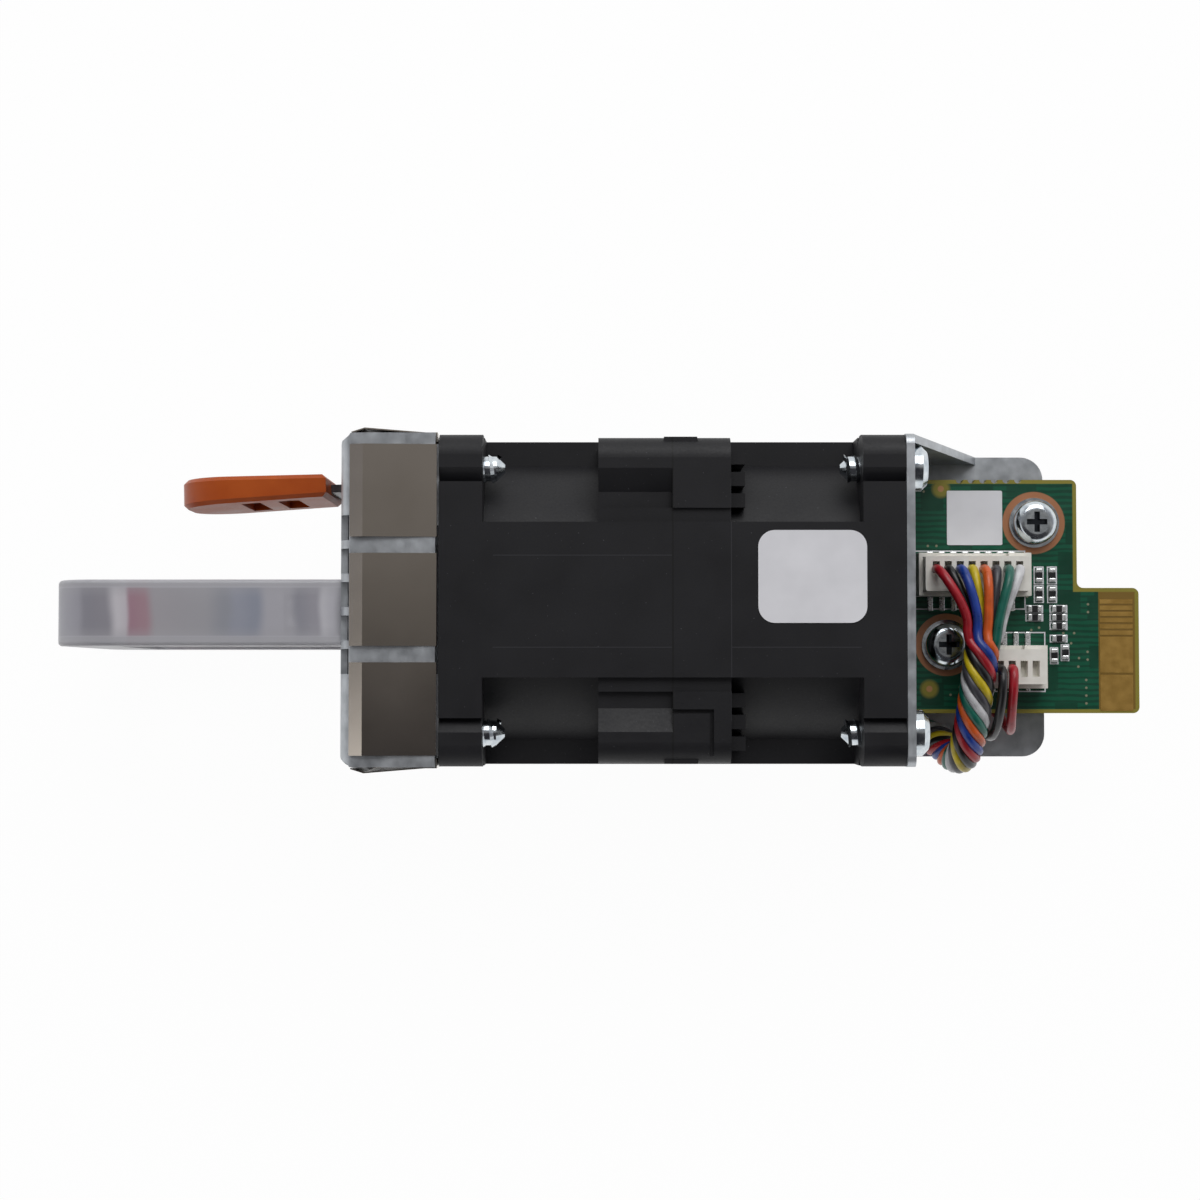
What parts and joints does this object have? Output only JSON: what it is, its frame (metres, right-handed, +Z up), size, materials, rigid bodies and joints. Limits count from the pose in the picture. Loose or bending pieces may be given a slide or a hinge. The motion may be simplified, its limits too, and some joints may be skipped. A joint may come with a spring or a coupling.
{
  "type": "fan module",
  "caption": "Hot-plug server fan module: steel bezel with pull handle and latch, two counter-rotating axial fans, and a rear plug-in board.",
  "frame": {"origin": "centre of the bottom of the module, wires left out: half way between the end of the handle and the end of the board tongue, on the fans' mid plane, at the lowest point of the spring fingers", "axes": "+X is the way the module slides into its bay, from the handle to the contacts; +Y is the latch side; +Z is up, square to the circuit board"},
  "size_m": [0.1352, 0.0424, 0.0415],
  "materials": {
    "spring_steel": "rolled stainless strip",
    "zinc_sheet": "electro-galvanised sheet",
    "clear_handle": "frosted clear polycarbonate",
    "red_tag": "printed film",
    "lever_steel": "spring steel",
    "orange_nylon": "moulded nylon",
    "frame_plastic": "moulded glass-filled plastic",
    "impeller_plastic": "moulded glass-filled plastic",
    "bearing_steel": "ground steel",
    "driver_board": "solder mask",
    "motor_steel": "stamped steel",
    "copper_coil": "enamelled copper",
    "magnet": "bonded ferrite",
    "screw_zinc": "blue zinc plate",
    "grommet_rubber": "moulded rubber",
    "board_mask": "solder mask",
    "contact_gold": "gold plate",
    "connector_nylon": "moulded nylon",
    "resistor_ceramic": "chip resistor",
    "tinned_legs": "tin plate",
    "label_paper": "satin label film",
    "wire_red": "PVC insulation",
    "wire_black": "PVC insulation",
    "wire_blue": "PVC insulation",
    "wire_yellow": "PVC insulation",
    "wire_orange": "PVC insulation",
    "wire_grey": "PVC insulation",
    "wire_green": "PVC insulation",
    "wire_white": "PVC insulation",
    "wire_bundle": "twisted PVC-insulated wires"
  },
  "bodies": {
    "module": {"airflow_tag": "red_tag", "board_label": "label_paper", "board_resistors": "resistor_ceramic", "board_screws": "screw_zinc", "board_standoffs": "screw_zinc", "circuit_board": "board_mask", "edge_contacts": "contact_gold", "fan_label": "label_paper", "front_bezel": "zinc_sheet", "front_fan_screws": "screw_zinc", "handle_screws": "screw_zinc", "inlet_bearings": "bearing_steel", "inlet_coils": "copper_coil", "inlet_driver_board": "driver_board", "inlet_frame": "frame_plastic", "inlet_stator_core": "motor_steel", "large_header": "connector_nylon", "large_header_legs": "tinned_legs", "large_plug": "connector_nylon", "latch_pin": "lever_steel", "latch_spring": "lever_steel", "lead_black": "wire_black", "lead_blue": "wire_blue", "lead_green": "wire_green", "lead_grey": "wire_grey", "lead_orange": "wire_orange", "lead_red": "wire_red", "lead_white": "wire_white", "lead_yellow": "wire_yellow", "outlet_bearings": "bearing_steel", "outlet_coils": "copper_coil", "outlet_driver_board": "driver_board", "outlet_frame": "frame_plastic", "outlet_stator_core": "motor_steel", "power_lead_black": "wire_black", "power_lead_red": "wire_red", "pull_handle": "clear_handle", "rear_bracket": "zinc_sheet", "rear_fan_screws": "screw_zinc", "small_header": "connector_nylon", "small_header_legs": "tinned_legs", "small_plug": "connector_nylon", "spring_fingers_bottom": "spring_steel", "spring_fingers_far_side": "spring_steel", "spring_fingers_latch_side": "spring_steel", "spring_fingers_top": "spring_steel", "wire_bundle": "wire_bundle", "wire_grommet": "grommet_rubber"},
    "outlet_rotor": {"outlet_impeller": "impeller_plastic", "outlet_magnet_ring": "magnet", "outlet_rotor_cup": "motor_steel", "outlet_shaft": "bearing_steel"},
    "inlet_rotor": {"inlet_impeller": "impeller_plastic", "inlet_magnet_ring": "magnet", "inlet_rotor_cup": "motor_steel", "inlet_shaft": "bearing_steel"},
    "latch": {"latch_lever": "lever_steel", "latch_tab": "orange_nylon"}
  },
  "joints": [
    {"name": "outlet_spin", "type": "hinge", "parent": "module", "child": "outlet_rotor", "pos_m": [-0.01075, 0, 0.02077], "axis": [1, 0, 0], "continuous": true},
    {"name": "inlet_spin", "type": "hinge", "parent": "module", "child": "inlet_rotor", "pos_m": [0.02525, 0, 0.02077], "axis": [1, 0, 0], "continuous": true},
    {"name": "latch_press", "type": "hinge", "parent": "module", "child": "latch", "pos_m": [-0.02335, 0.0132, 0.02207], "axis": [0, 0, 1], "range_deg": [0, 10], "stiffness_Nm_per_rad": 0.1, "springref_deg": -17.19}
  ]
}
